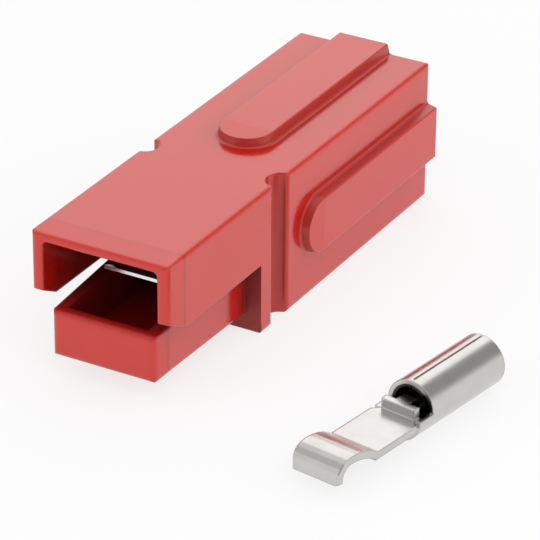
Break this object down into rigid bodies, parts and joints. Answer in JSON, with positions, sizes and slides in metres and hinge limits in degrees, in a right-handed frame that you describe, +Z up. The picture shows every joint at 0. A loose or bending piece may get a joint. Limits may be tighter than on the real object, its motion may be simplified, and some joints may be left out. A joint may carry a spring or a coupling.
{
  "type": "genderless power connector",
  "caption": "Square genderless power connector housing with a hooded mating mouth, a spring-loaded tongue and dovetail rails, and its rolled wire contact beside it.",
  "frame": {"origin": "centre of the wire entry's mouth at the rear face, on the line about which two connectors turn to mate", "axes": "+Y along the housing from the mating mouth to the wire entry, +Z up through the hood's roof, +X towards the side rail"},
  "size_m": [0.0425, 0.0607, 0.0171],
  "materials": {
    "housing_plastic": "semi-gloss moulded red",
    "spring_steel": "bright stainless strip",
    "contact_silver": "bright silver plating"
  },
  "bodies": {
    "root": {"housing": "housing_plastic", "leaf_spring": "spring_steel", "contact": "contact_silver"}
  },
  "joints": []
}
